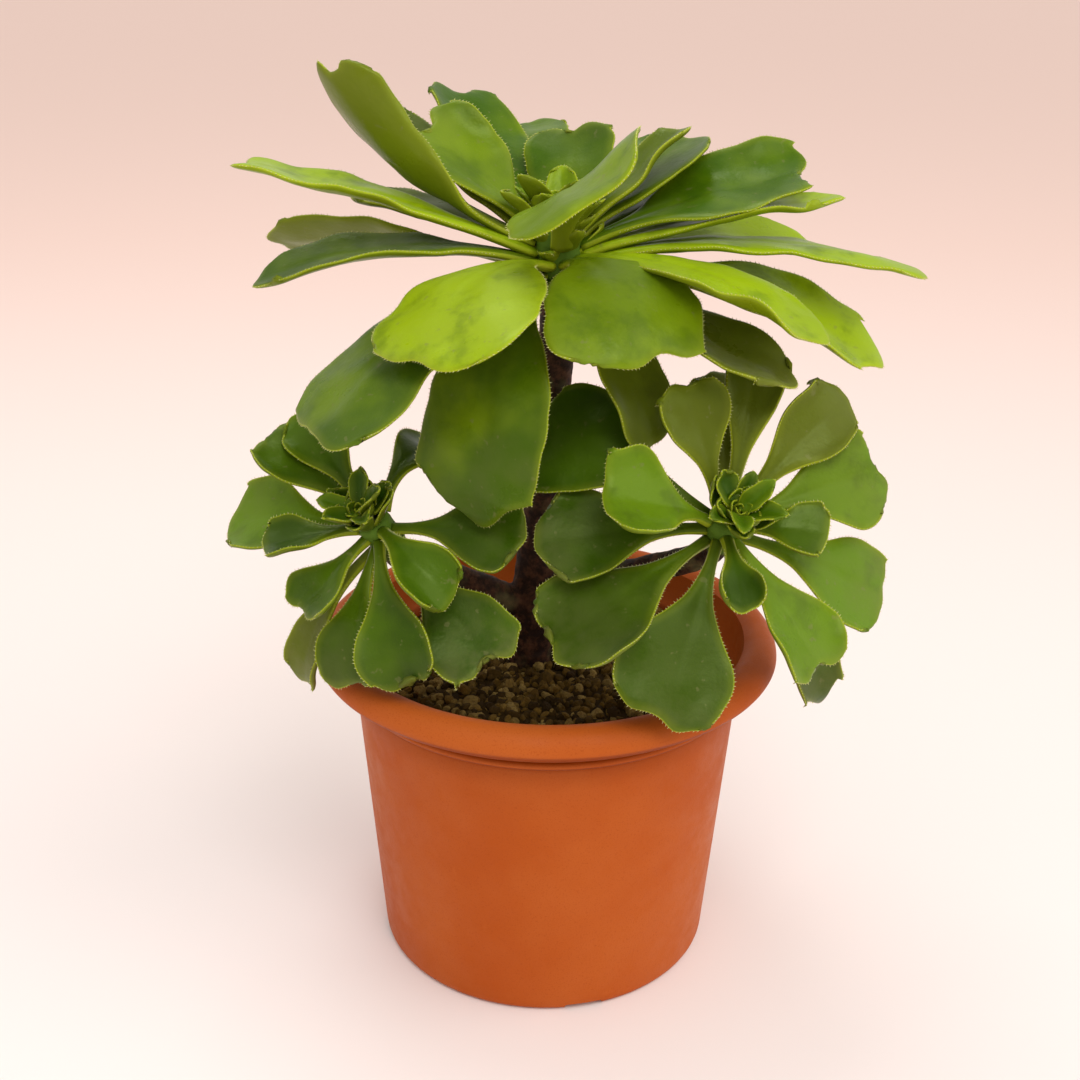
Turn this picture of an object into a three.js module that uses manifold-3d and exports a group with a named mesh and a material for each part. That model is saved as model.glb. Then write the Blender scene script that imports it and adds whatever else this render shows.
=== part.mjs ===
// A branching rosette succulent in a round moulded nursery pot.
//
// The frame is in millimetres with +Z up, and its origin is the centre of the pot's flat bottom,
// on the surface that it stands on. Azimuths are in degrees about +Z: 0 is +X (the plant's right),
// 90 is +Y (its back), 180 is -X and -90 is -Y (its front). Angles written with a tilt, a rise or
// a fall are in degrees too.

import * as THREE from "three";
import { mergeVertices } from "three/addons/utils/BufferGeometryUtils.js";
import Module from "manifold-3d";

const wasm = await Module();
wasm.setup();

// ---------------------------------------------------------------- driving dimensions

const CLEARANCE = 0.3; // between pieces that touch

const POT = {
  height: 90,
  footRadius: 44.3,
  flare: 6.3, // how much wider the wall is where the lip begins than at the foot
  overhang: 9.4, // from the wall there out to the lip's outermost edge
  mouthInset: 5.3, // from that edge back in to the lip's top edge
  wall: 1.6,
  floor: 3.2,
  footRound: 2.2, // radius of the bottom's outer edge
  lipDrop: 12, // from the top down to where the lip leaves the wall
  rimDrop: 5.2, // from the top down to the lip's outermost edge
  bandHeight: 2.4, // raised band round the wall, under the lip
  bandStep: 0.7, // how far the band stands out from the wall
  sides: 60,
  curveSteps: 4,
};

const DRAIN = {
  count: 4,
  firstAzimuth: -76,
  holeRadius: 3.5,
  circleRadius: 28, // where the holes sit
  channelWidth: 10, // shallow channel from each hole out to the foot's edge
  channelDepth: 1.7,
};

const SOIL = {
  drop: 13, // from the top of the pot down to the soil's edge
  mound: 2.5, // how far the soil's middle stands above its edge
  ripple: 0.5, // unevenness of the surface
  rings: 7,
};

const STEM = {
  footRadius: 6.4,
  crownRadius: 4.6,
  buried: 28,
  neck: 0.7, // way along the stem, or along a branch, where its taper is done
  drift: [-5, 2], // sideways shift of the stem where it enters the soil
  bend: 0.4, // height, as a share of the whole, where the stem passes its bend
  steps: 18,
  sides: 14,
};

const BRANCH = {
  crownRadius: 3.4,
  footRadius: 4.2,
  start: 16, // height above the soil where a branch leaves the stem
  straight: 14.5, // length of the straight end below its crown
  steps: 12,
  sides: 12,
};

// The leafy end of each stem. Its place is an azimuth and a distance out from the pot's axis, its
// height is measured from the pot's top edge, it leans by tilt towards leanAzimuth, and leaves grow
// from it along its length. The side crowns keep their distance to the edge of the lip, and the
// top crown stands as much higher as the lip is wider, so that its low leaves clear theirs.
const COLLAR_RADIUS = POT.footRadius + POT.flare;
const RIM_RADIUS = COLLAR_RADIUS + POT.overhang;
const MOUTH_RADIUS = RIM_RADIUS - POT.mouthInset;

const CROWNS = {
  top: {
    azimuth: 0, out: 2, height: RIM_RADIUS + 31,
    tilt: 4, leanAzimuth: 180, radius: STEM.crownRadius, length: 12,
  },
  left: {
    azimuth: -153.4, out: RIM_RADIUS - 15.3, height: 33,
    tilt: 40, leanAzimuth: -125, radius: BRANCH.crownRadius, length: 5.5,
  },
  right: {
    azimuth: -31.4, out: RIM_RADIUS - 12, height: 37,
    tilt: 45, leanAzimuth: -80, radius: BRANCH.crownRadius, length: 5.5,
  },
};

const LEAF = {
  petioleWidth: 3.8,
  petioleThickness: 1.7,
  bladeThickness: 1.3,
  broadest: 0.74, // share of the length where the blade is broadest
  cornerAngle: 52, // how far round the tip's ellipse the sides run before the tip's own edge
  stations: [0, 0.16, 0.32, 0.48, 0.62, 0.75, 0.87, 0.95, 1],
};

// One row for each leaf: azimuth and level on its crown, then the elevation that it starts with,
// the elevation that its tip ends with, its length, its width, its roll about its own axis, and
// how far its left and right margins curl up. The last value is the depth of the tip's notch.
const LEAVES = {
  top: [
    // azimuth, level, rise, fall, length, width, roll, curl left, curl right, notch
    [175, 9.2, 22, 68, 69, 20, 55, 50, 40, 2],
    [155, 11.2, 45, 36, 42, 27, -15, 40, 40, 2.5],
    [186, 6.8, 27, 14, 75, 24, 0, 20, 10, 0],
    [161, 3, 16, -8, 76, 20, 35, 20, 0, 0],
    [-171, 4.8, 20, -20, 70, 22, -5, 25, 20, 0],
    [152, 5.8, 24, 4, 55, 18, 0, 15, 15, 0],
    [-147, 2, 0, -48, 74, 40, 0, -15, -5, 1],
    [-81, 8.6, 67, -24, 47, 38, 32, 10, 5, 0],
    [-123, 4.4, 20, -46, 59, 44, 6, -15, -15, 3.5],
    [-64, 4.4, 22, -72, 49, 42, -2, -10, -15, 2.5],
    [-28, 5, 8, -38, 66, 30, 0, -15, 30, 0],
    [-28, -1.4, -13, -28, 60, 26, 0, 10, 10, 0],
    [0, 3.8, 12, -24, 86, 20, 0, -20, -10, 0],
    [10, 7.6, 20, 4, 63, 29, 14, 45, 5, 1.5],
    [6, 5.7, 14, 2, 64, 20, 0, 10, 10, 0],
    [24, 2.4, 12, -18, 66, 19, 18, 10, 10, 0],
    [-2, 0.4, 6, -46, 80, 26, 20, 10, 10, 0],
    [37, 9, 30, 24, 44, 30, 0, 20, 20, 1.5],
    [45, 5.8, 22, 17, 46, 17, 0, 10, 10, 0],
    [22, 11, 40, 34, 36, 14, 0, 30, 30, 0],
    [76, 10.6, 54, 48, 30, 23, 0, 20, 20, 1],
    [94, 6, 42, 8, 60, 16, 0, 10, 10, 0],
    [122, 9.8, 42, 34, 54, 26, 15, 20, 20, 0],
    [-120, 0, -4, -106, 68, 36, 0, -10, -10, 0],
    [-49, -3.4, -28, -80, 44, 19, 0, 10, 10, 0],
    [76, 1.6, 5, -45, 60, 28, 0, 10, 10, 0],
    [140, 7.9, 36, 26, 64, 13, 0, 10, 10, 0],
  ],
  left: [
    [127, 3.4, 44, 16, 34, 23, 20, 15, 10, 0],
    [159, 1.2, 22, -8, 39, 23, 0, 15, 15, -2],
    [110, 5.6, 42, 18, 31, 17, 0, 15, 15, 0],
    [54, 4, 40, -100, 33, 20, 14, 10, 10, 0],
    [-57, 5, 38, -62, 30, 16, -10, 45, 45, 0],
    [-17, 2, 0, -18, 35, 24, 0, 10, 10, 1],
    [-172, 5.4, 30, 10, 24, 17, 12, 20, 20, 0],
    [-138, 3, 12, -12, 25, 20, 10, 15, 15, 0],
    [-148, -2.2, 2, -62, 45, 13, -8, 20, 20, 0],
    [-116, 0, -2, -38, 37, 20, 0, 15, 15, 0],
    [-90, 2.4, 4, -46, 40, 20, 0, 15, 15, 0],
    [-61, -2.4, -10, -22, 43, 24, -6, 10, 10, 1.5],
  ],
  right: [
    [155, 3.6, 22, -36, 53, 31, -10, -10, -10, 1],
    [-174, 5.6, 46, 0, 31, 29, 10, 45, 50, 0],
    [-170, 1.8, 8, -13, 42, 26, 8, 5, 5, 0],
    [-138, 0, 12, -10, 51, 31, 30, 10, 10, 0],
    [-106, 2, 10, -20, 50, 31, -10, 15, 10, 2.5],
    [-84, 4.6, 32, 15, 24, 12, 0, 40, 40, 0],
    [-54, 2.4, 15, -24, 40, 24, -18, 15, 25, 0],
    [-6, 4, 26, 8, 21, 16, 0, 20, 20, 0],
    [-14, 0, 6, -28, 43, 24, 0, 0, 0, 0],
    [25, 1.6, 26, -15, 40, 25, 18, 20, 20, 1],
    [51, 3.6, 36, -4, 41, 19, 15, 15, 15, 0],
    [84, 4.8, 38, 2, 41, 15, 0, 20, 20, 0],
    [120, 6, 44, 25, 33, 20, 0, 15, 15, 0],
    [90, 0.6, 15, -22, 41, 21, 0, 10, 10, 0],
    [-38, -2.6, -14, -66, 56, 15, 15, 20, 20, 0],
  ],
};

// The bud of young leaves at the end of each crown
const BUD = {
  leaves: 7,
  turn: 137.5, // from each leaf round to the next
  firstRise: 48, // elevation of the outermost leaf
  lastRise: 80,
  size: { top: 12, left: 13, right: 13 }, // length of the outermost leaf
  shrink: 0.6, // length of the innermost as a share of the outermost
  proportion: 0.55, // width as a share of length
  stations: [0, 0.4, 0.78, 1],
};

const COLOURS = {
  pot: "#c25a2a",
  soil: "#4d3620",
  stem: "#3d1c12",
  topLeaf: "#6b9a1f",
  sideLeaf: "#3f7420",
  bud: "#7aa838",
};

// ---------------------------------------------------------------- derived places

const soilHeight = POT.height - SOIL.drop;
const crownBase = (crown) => ringPoint(crown.azimuth, crown.out, POT.height + crown.height);

// ---------------------------------------------------------------- helpers

const radians = THREE.MathUtils.degToRad;
const mix = THREE.MathUtils.lerp;
const smooth = (value, from, to) => THREE.MathUtils.smoothstep(value, from, to);

function ringPoint(azimuth, radius, height) {
  const turn = radians(azimuth);
  return new THREE.Vector3(radius * Math.cos(turn), radius * Math.sin(turn), height);
}

function solidOf(geometry) {
  const bare = geometry.index ? geometry.toNonIndexed() : geometry.clone();
  bare.deleteAttribute("normal");
  bare.deleteAttribute("uv");
  const merged = mergeVertices(bare, 1e-5);
  return new wasm.Manifold(new wasm.Mesh({
    numProp: 3,
    vertProperties: new Float32Array(merged.attributes.position.array),
    triVerts: new Uint32Array(merged.index.array),
  }));
}

function geometryOf(solid) {
  const mesh = solid.getMesh();
  const geometry = new THREE.BufferGeometry();
  geometry.setAttribute("position", new THREE.BufferAttribute(new Float32Array(mesh.vertProperties), 3));
  geometry.setIndex(new THREE.BufferAttribute(new Uint32Array(mesh.triVerts), 1));
  return geometry;
}

function meshOf(name, geometry, colour, roughness) {
  geometry.computeVertexNormals();
  const material = new THREE.MeshStandardMaterial({ color: colour, roughness, metalness: 0 });
  const mesh = new THREE.Mesh(geometry, material);
  mesh.name = name;
  return mesh;
}

// A closed round bar along a curve, with its radius given as a function of the way along
function barAlong(curve, radiusAt, steps, sides) {
  const frames = curve.computeFrenetFrames(steps, false);
  const points = [curve.getPoint(0)];
  const faces = [];
  for (let step = 0; step <= steps; step += 1) {
    const centre = curve.getPointAt(step / steps);
    const radius = radiusAt(step / steps);
    for (let side = 0; side < sides; side += 1) {
      const turn = (2 * Math.PI * side) / sides;
      points.push(centre.clone()
        .addScaledVector(frames.normals[step], radius * Math.cos(turn))
        .addScaledVector(frames.binormals[step], radius * Math.sin(turn)));
    }
  }
  points.push(curve.getPoint(1));
  const at = (step, side) => 1 + step * sides + (side % sides);
  for (let side = 0; side < sides; side += 1) {
    faces.push(0, at(0, side + 1), at(0, side));
    for (let step = 0; step < steps; step += 1) {
      faces.push(at(step, side), at(step, side + 1), at(step + 1, side + 1));
      faces.push(at(step, side), at(step + 1, side + 1), at(step + 1, side));
    }
    faces.push(at(steps, side), at(steps, side + 1), points.length - 1);
  }
  return indexed(points, faces);
}

function indexed(points, faces) {
  const geometry = new THREE.BufferGeometry().setFromPoints(points);
  geometry.setIndex(faces);
  return geometry;
}

// ---------------------------------------------------------------- pot

function wallRadius(height) {
  return mix(POT.footRadius, COLLAR_RADIUS, height / (POT.height - POT.lipDrop));
}

function innerRadius(height) {
  return wallRadius(height) - POT.wall;
}

function potProfile() {
  const collar = POT.height - POT.lipDrop;
  const band = collar - POT.bandHeight;
  const rim = POT.height - POT.rimDrop;
  const edge = new THREE.Path();
  edge.moveTo(0, 0);
  edge.lineTo(POT.footRadius - POT.footRound, 0);
  edge.quadraticCurveTo(POT.footRadius, 0, wallRadius(POT.footRound), POT.footRound);
  edge.lineTo(wallRadius(band - POT.bandStep), band - POT.bandStep);
  edge.lineTo(wallRadius(band) + POT.bandStep, band);
  edge.lineTo(wallRadius(collar) + POT.bandStep, collar);
  edge.bezierCurveTo(
    mix(COLLAR_RADIUS, RIM_RADIUS, 0.42), mix(collar, rim, 0.32),
    mix(COLLAR_RADIUS, RIM_RADIUS, 0.94), mix(collar, rim, 0.68),
    RIM_RADIUS, rim,
  );
  edge.bezierCurveTo(
    RIM_RADIUS, mix(rim, POT.height, 0.5),
    mix(MOUTH_RADIUS, RIM_RADIUS, 0.55), POT.height,
    MOUTH_RADIUS, POT.height,
  );
  edge.quadraticCurveTo(
    MOUTH_RADIUS - POT.wall, POT.height,
    MOUTH_RADIUS - 2 * POT.wall, POT.height - POT.wall,
  );
  edge.lineTo(innerRadius(collar), collar);
  edge.lineTo(innerRadius(POT.floor), POT.floor);
  edge.lineTo(0, POT.floor);
  return edge.getPoints(POT.curveSteps);
}

function potSolid() {
  let pot = solidOf(turned(potProfile(), POT.sides));
  for (let index = 0; index < DRAIN.count; index += 1) {
    const azimuth = DRAIN.firstAzimuth + (360 / DRAIN.count) * index;
    pot = pot.subtract(solidOf(drainHole(azimuth))).subtract(solidOf(drainChannel(azimuth)));
  }
  return pot;
}

// A profile in radius and height, turned round the vertical axis
function turned(profile, sides) {
  return new THREE.LatheGeometry(profile, sides).rotateX(Math.PI / 2);
}

function drainHole(azimuth) {
  const hole = new THREE.CylinderGeometry(DRAIN.holeRadius, DRAIN.holeRadius, 4 * POT.floor, 20);
  const centre = ringPoint(azimuth, DRAIN.circleRadius, 0);
  return hole.rotateX(Math.PI / 2).translate(centre.x, centre.y, centre.z);
}

function drainChannel(azimuth) {
  const length = RIM_RADIUS - DRAIN.circleRadius;
  const channel = new THREE.BoxGeometry(length, DRAIN.channelWidth, 2 * DRAIN.channelDepth);
  return channel.translate(DRAIN.circleRadius + length / 2, 0, 0).rotateZ(radians(azimuth));
}

// ---------------------------------------------------------------- stem

function soilSurface(x, y) {
  const out = Math.hypot(x, y) / innerRadius(soilHeight);
  const ripple = Math.sin(x * 0.31 + 1) * Math.cos(y * 0.27) + 0.5 * Math.sin(x * 0.13 - y * 0.19);
  return soilHeight + SOIL.mound * (1 - out * out) + SOIL.ripple * ripple;
}

function crownAxis(crown) {
  return ringPoint(crown.leanAzimuth, Math.sin(radians(crown.tilt)), Math.cos(radians(crown.tilt)));
}

function trunkCurve() {
  const [x, y] = STEM.drift;
  const top = crownBase(CROWNS.top);
  const axis = crownAxis(CROWNS.top);
  return new THREE.CatmullRomCurve3([
    new THREE.Vector3(x, y, soilHeight - STEM.buried),
    new THREE.Vector3(x, y, soilHeight),
    new THREE.Vector3(
      mix(x, top.x, STEM.bend), mix(y, top.y, STEM.bend), mix(soilHeight, top.z, STEM.bend),
    ),
    top,
    top.clone().addScaledVector(axis, CROWNS.top.length),
  ]);
}

function branchCurve(crown) {
  const [x, y] = STEM.drift;
  const end = crownBase(crown);
  const axis = crownAxis(crown);
  const back = end.clone().addScaledVector(axis, -BRANCH.straight);
  const start = new THREE.Vector3(x, y, soilHeight + BRANCH.start);
  return new THREE.CatmullRomCurve3([
    start,
    new THREE.Vector3(mix(x, back.x, 0.55), mix(y, back.y, 0.55), mix(start.z, back.z, 0.6)),
    back,
    end,
    end.clone().addScaledVector(axis, crown.length),
  ]);
}

// The trunk, made fatter all over by spare
function trunkSolid(spare) {
  const radiusAt = (way) => mix(STEM.footRadius, STEM.crownRadius, smooth(way, 0, STEM.neck)) + spare;
  return solidOf(barAlong(trunkCurve(), radiusAt, STEM.steps, STEM.sides));
}

function branchSolid(crown) {
  const radiusAt = (way) => mix(BRANCH.footRadius, BRANCH.crownRadius, smooth(way, 0, STEM.neck));
  return solidOf(barAlong(branchCurve(crown), radiusAt, BRANCH.steps, BRANCH.sides));
}

function stemSolid() {
  return trunkSolid(0).add(branchSolid(CROWNS.left)).add(branchSolid(CROWNS.right));
}

// ---------------------------------------------------------------- soil

function soilSolid() {
  const profile = [new THREE.Vector2(0, POT.floor + CLEARANCE)];
  profile.push(new THREE.Vector2(innerRadius(POT.floor) - 2 * CLEARANCE, POT.floor + CLEARANCE));
  for (let ring = 0; ring <= SOIL.rings; ring += 1) {
    const radius = (innerRadius(soilHeight) - CLEARANCE) * (1 - ring / SOIL.rings);
    profile.push(new THREE.Vector2(radius, soilHeight));
  }
  const body = turned(profile, POT.sides / 2);
  const place = body.attributes.position;
  for (let index = 0; index < place.count; index += 1) {
    if (place.getZ(index) > soilHeight - CLEARANCE) {
      place.setZ(index, soilSurface(place.getX(index), place.getY(index)));
    }
  }
  return solidOf(body).subtract(trunkSolid(CLEARANCE));
}

// ---------------------------------------------------------------- leaves

// The leaf's outline on the flat. Along it, way runs from 0 at the base to 1 at the tip, and
// across it, side runs from 1 at the left margin to -1 at the right.
function flatPoint(leaf, way, side) {
  const shoulder = LEAF.broadest * leaf.length;
  const corner = radians(LEAF.cornerAngle);
  const marginEnd = shoulder + (leaf.length - shoulder) * Math.cos(corner);
  const middle = way * leaf.length;
  const margin = way * marginEnd;
  const along = mix(middle, margin, side * side) - leaf.notch * smooth(way, 0.8, 1) * (1 - Math.abs(side)) ** 2;
  const widening = smooth(margin, 0.12 * leaf.length, shoulder) ** 1.15;
  const rounding = Math.sqrt(Math.max(0, 1 - (Math.max(0, margin - shoulder) / (leaf.length - shoulder)) ** 2));
  const halfWidth = mix(LEAF.petioleWidth, leaf.width, widening) * 0.5 * rounding;
  return { along, across: halfWidth * side };
}

// The middle line of a leaf: its position, direction, left and up at a distance along it
function middleLine(leaf, along) {
  const steps = 12;
  const place = ringPoint(leaf.azimuth, leaf.start, leaf.level);
  const direction = new THREE.Vector3();
  const heading = radians(leaf.azimuth);
  for (let step = 0; step < steps; step += 1) {
    const way = ((step + 0.5) / steps) * (along / leaf.length);
    const elevation = radians(mix(leaf.rise, leaf.fall, way));
    direction.set(
      Math.cos(elevation) * Math.cos(heading), Math.cos(elevation) * Math.sin(heading), Math.sin(elevation),
    );
    place.addScaledVector(direction, along / steps);
  }
  const way = along / leaf.length;
  const elevation = radians(mix(leaf.rise, leaf.fall, way));
  direction.set(
    Math.cos(elevation) * Math.cos(heading), Math.cos(elevation) * Math.sin(heading), Math.sin(elevation),
  );
  const left = new THREE.Vector3(-Math.sin(heading), Math.cos(heading), 0);
  const roll = radians(leaf.roll) * smooth(way, 0.05, 0.7);
  left.applyAxisAngle(direction, roll);
  const up = new THREE.Vector3().crossVectors(direction, left);
  return { place, left, up };
}

// A point on the leaf's middle surface and the direction of its upper face there
function leafPoint(leaf, way, side) {
  const { along, across } = flatPoint(leaf, way, side);
  const line = middleLine(leaf, along);
  const curl = radians(side > 0 ? leaf.curlLeft : leaf.curlRight);
  const bend = (curl * Math.abs(across)) / (leaf.width / 2);
  const ratio = Math.abs(bend) < 1e-4 ? 1 : Math.sin(bend) / bend;
  const lift = Math.abs(bend) < 1e-4 ? 0 : (1 - Math.cos(bend)) / bend;
  const place = line.place.clone()
    .addScaledVector(line.left, across * ratio)
    .addScaledVector(line.up, Math.abs(across) * lift);
  const outward = side > 0 ? -1 : 1;
  const up = line.up.clone().multiplyScalar(Math.cos(bend))
    .addScaledVector(line.left, outward * Math.sin(bend));
  return { place, up };
}

// Round each station the points run from the left margin over the upper face to the right margin
// and back under the lower face. At the tip the two faces share one edge.
const SIDES = [1, 0.5, 0, -0.5, -1, -0.5, 0, 0.5];

function leafGeometry(leaf, stations) {
  const points = [];
  const faces = [];
  const last = stations.length - 1;
  const start = leafPoint(leaf, 0, 0);
  points.push(start.place.clone().addScaledVector(ringPoint(leaf.azimuth, 1, 0), -CLEARANCE / 3));
  stations.forEach((way, station) => {
    const thickness = mix(LEAF.petioleThickness, LEAF.bladeThickness, way) * leaf.stoutness;
    SIDES.slice(0, station === last ? 5 : 8).forEach((side, index) => {
      const { place, up } = leafPoint(leaf, way, side);
      const face = index > 4 ? -1 : 1;
      const depth = station === last ? 0 : thickness * 0.5 * Math.sqrt(1 - side * side);
      points.push(place.addScaledVector(up, face * depth));
    });
  });
  const at = (station, index) => {
    const turn = index % 8;
    const tip = turn > 4 ? 8 - turn : turn;
    return 1 + station * 8 + (station === last ? tip : turn);
  };
  for (let index = 0; index < 8; index += 1) {
    faces.push(0, at(0, index + 1), at(0, index));
    for (let station = 0; station < last; station += 1) {
      faces.push(at(station, index), at(station, index + 1), at(station + 1, index + 1));
      faces.push(at(station, index), at(station + 1, index + 1), at(station + 1, index));
    }
  }
  return indexed(points, faces);
}

function leafOf(row, crown) {
  const [azimuth, level, rise, fall, length, width, roll, curlLeft, curlRight, notch] = row;
  const lean = 0.5 * LEAF.petioleThickness * Math.abs(Math.sin(radians(rise)));
  const start = crown.radius + CLEARANCE + lean;
  return { azimuth, level, rise, fall, length, width, roll, curlLeft, curlRight, notch, start, stoutness: 1 };
}

// ---------------------------------------------------------------- buds

function budSolid(size) {
  const core = new THREE.SphereGeometry(0.24 * size, 12, 8).rotateX(Math.PI / 2);
  let bud = solidOf(core.translate(0, 0, 0.24 * size));
  for (let index = 0; index < BUD.leaves; index += 1) {
    const way = index / (BUD.leaves - 1);
    const length = size * mix(1, BUD.shrink, way);
    const rise = mix(BUD.firstRise, BUD.lastRise, way);
    const leaf = {
      azimuth: BUD.turn * index, level: size * mix(0.1, 0.3, way), rise, fall: rise + 20, length,
      width: BUD.proportion * length, roll: 0, curlLeft: 35, curlRight: 35, notch: 0,
      start: 0.05 * size, stoutness: 0.8,
    };
    bud = bud.add(solidOf(leafGeometry(leaf, BUD.stations)));
  }
  return bud;
}

// ---------------------------------------------------------------- assembly

function crownGroup(name, colour) {
  const crown = CROWNS[name];
  const group = new THREE.Group();
  group.position.copy(crownBase(crown));
  group.quaternion.setFromUnitVectors(new THREE.Vector3(0, 0, 1), crownAxis(crown));
  LEAVES[name].forEach((row, index) => {
    const number = String(index + 1).padStart(2, "0");
    const geometry = leafGeometry(leafOf(row, crown), LEAF.stations);
    group.add(meshOf(`${name}_leaf_${number}`, geometry, colour, 0.45));
  });
  const bud = meshOf(`${name}_bud`, geometryOf(budSolid(BUD.size[name])), COLOURS.bud, 0.45);
  bud.position.set(0, 0, crown.length + CLEARANCE);
  group.add(bud);
  return group;
}

const plant = new THREE.Group();
plant.add(meshOf("pot", geometryOf(potSolid()), COLOURS.pot, 0.55));
plant.add(meshOf("soil", geometryOf(soilSolid()), COLOURS.soil, 0.95));
plant.add(meshOf("stem", geometryOf(stemSolid()), COLOURS.stem, 0.8));
plant.add(crownGroup("top", COLOURS.topLeaf));
plant.add(crownGroup("left", COLOURS.sideLeaf));
plant.add(crownGroup("right", COLOURS.sideLeaf));

export default plant;
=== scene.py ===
"""Looks of a branching rosette succulent in a round nursery pot.

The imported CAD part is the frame: every leaf's course, width and curl are read back from its CAD
solid, and a finely modelled leaf takes its place. Lengths are in metres, +Z is up and the camera
looks along +Y and down.
"""

import math

import bmesh
import bpy
import numpy as np
from mathutils import Euler, Matrix, Vector, noise


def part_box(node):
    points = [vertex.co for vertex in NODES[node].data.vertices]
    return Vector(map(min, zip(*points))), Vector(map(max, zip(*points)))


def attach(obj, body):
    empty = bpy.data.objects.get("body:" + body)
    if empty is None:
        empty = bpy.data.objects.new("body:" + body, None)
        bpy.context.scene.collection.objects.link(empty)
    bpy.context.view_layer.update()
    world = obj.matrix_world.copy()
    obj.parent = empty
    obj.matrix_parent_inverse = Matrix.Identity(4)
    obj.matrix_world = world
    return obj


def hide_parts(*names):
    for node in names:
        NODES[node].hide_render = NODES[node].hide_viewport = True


MM = 0.001

# ---------------- driving values

CAMERA = {
    "place": (0.0, -0.355, 0.2623),
    "pitch": 22.75,  # degrees below the horizon
    "turn": 0.34,  # degrees to the left
    "roll": 0.59,
    "lens": 50.0,
}

LEAF = {
    "thickness": 1.25 * MM,
    "petiole_thickness": 2.8 * MM,
    "edge_round": 2.4 * MM,  # how far in from the margin the blade thins out
    "edge_share": 0.45,  # the most of its width that the rounding takes
    "midrib_depth": 0.3 * MM,
    "midrib_width": 1.3 * MM,
    "midrib_below": 0.6,  # how far it stands out underneath, as a share of its depth
    "midrib_fade": (5, 2.2),  # how fast it comes up at the heel and goes at the tip
    "wave": 1.2 * MM,  # slow unevenness of the blade
    "wave_length": 12 * MM,
    "ruffle": 1.7 * MM,  # waviness that grows towards the margin
    "ruffle_length": 10 * MM,
    "ruffle_reach": 5.5 * MM,
    "lobe": 0.2,  # unevenness of the outline, as a share of the half width
    "tip_lobe": 0.07,  # unevenness of the tip's edge, as a share of the length
    "notch": 1.3,  # depth of a notched tip's notch, as a multiple of tip_lobe
    "fullness": {"top": 0.6, "left": -0.25, "right": -0.25},  # stalks broader, or narrower with a minus
    "cup": {"top": 0.6 * MM, "left": 1.8 * MM, "right": 1.8 * MM},  # how far the margins turn up
    "cup_sink": 0.2,  # how far the middle sinks, as a share of that
}

# Where along a leaf its stalk changes, and by what share of the fullness
STALK = {"ways": (0, 0.12, 0.28, 0.5, 0.62, 1), "shares": (0.7, 0.9, 1, 0.15, 0, 0)}

# The uneven outline: how many waves a side or a tip has, how strong the finer waves are beside the
# slow ones, how far all of them are shifted inwards, and which part of the leaf they act on
SIDE_WAVES = {"slow": 2.7, "fine": 6.1, "fine_share": 0.22, "inward": 0.2, "span": (0.3, 0.75)}
TIP_WAVES = {"slow": 1.3, "finer": 2.3, "fine_share": 0.2, "inward": 0.35, "span": (0.66, 1.0)}
NOTCH = {"half_width": 0.28, "off_centre": 0.12}

# The fine grid that stands for a leaf's middle surface
GRID = {
    "rows": 40,
    "tip_rows": (0.2, 0.4, 0.55, 0.68, 0.79, 0.88, 0.95, 1),  # the last station's share of the way
    "columns": 15,
    "margin": (0, 0.035, 0.09, 0.18, 0.32),  # extra columns next to each margin
}

# Leaves that stand in full light are yellow-green and the others are a deep green. A dusty leaf
# is matt and greyish. Numbers are those at the end of the leaves' names.
SUNNY = {"top": (3, 9, 11, 13, 15, 16, 17), "left": (2,), "right": (2, 7, 9, 10)}
HALF_SUNNY = {"top": (2, 8, 10), "left": (5,), "right": (11,)}
NOTCHED = {"top": (1, 2, 10, 14, 21, 23), "left": (1, 8, 10, 11, 12), "right": (1, 4, 7, 10, 13)}
OLIVE = {"top": (1, 4, 6, 12, 20, 25, 27), "left": (9,), "right": (11, 12, 13, 14)}

# How sunny, olive and dusty the leaves of each kind are, from 0 to 1
TONES = {
    "sunny": (0.7, 1.0),
    "shaded": (0.0, 0.16),
    "half_sunny": 0.25,
    "olive": (0.5, 1.0),
    "green": (0.0, 0.2),
    "clean": (0.0, 0.3),
    "dusty": (0.3, 1.0),
}

TOOTH = {
    "spacing": 0.95 * MM,
    "spacing_spread": (0.7, 1.3),
    "length": 0.5 * MM,
    "length_spread": (0.55, 1.3),
    "radius": 0.16 * MM,
    "root": 0.15 * MM,  # how far it starts inside the leaf
    "lean": 0.35,
    "first": 6,  # grid row where the teeth begin, counted from the base
    "inner": 3,  # grid lines in from the margin, to tell which way is out
}

POT = {
    "foot_radius": 44.3 * MM,
    "collar_radius": 50.6 * MM,
    "mouth_radius": 54.7 * MM,
    "wall": 1.6 * MM,
    "floor": 3.2 * MM,
    "foot_round": 2.2 * MM,
    "lip_drop": 12 * MM,
    "rim_drop": 5.2 * MM,
    "band_height": 2.4 * MM,
    "band_step": 0.8 * MM,
    "band_bulge": 1.3,  # height of the bead's round, as a multiple of the step
    "band_groove": 0.3,  # depth of the groove on either side of it
    "sides": 240,
    "bottom_rings": (0, 8, 16, 20, 24, 26, 28, 30, 32, 34, 37, 40),  # radii in mm
    "floor_rings": (36, 30, 26, 16, 0),
}

# How much painted shade darkens the pot where its surface faces down, and in the grooves by the bead
HOLLOW = {"under": 0.75, "facing_down": (0.1, 0.75), "groove": 0.55, "groove_width": 0.5 * MM}

DRAIN = {
    "count": 4,
    "first_azimuth": -76,
    "hole_radius": 3.5 * MM,
    "circle_radius": 28 * MM,
    "channel_width": 10 * MM,
    "channel_depth": 1.7 * MM,
    "channel_length": 30 * MM,
    "channel_round": 0.8 * MM,
}

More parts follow.
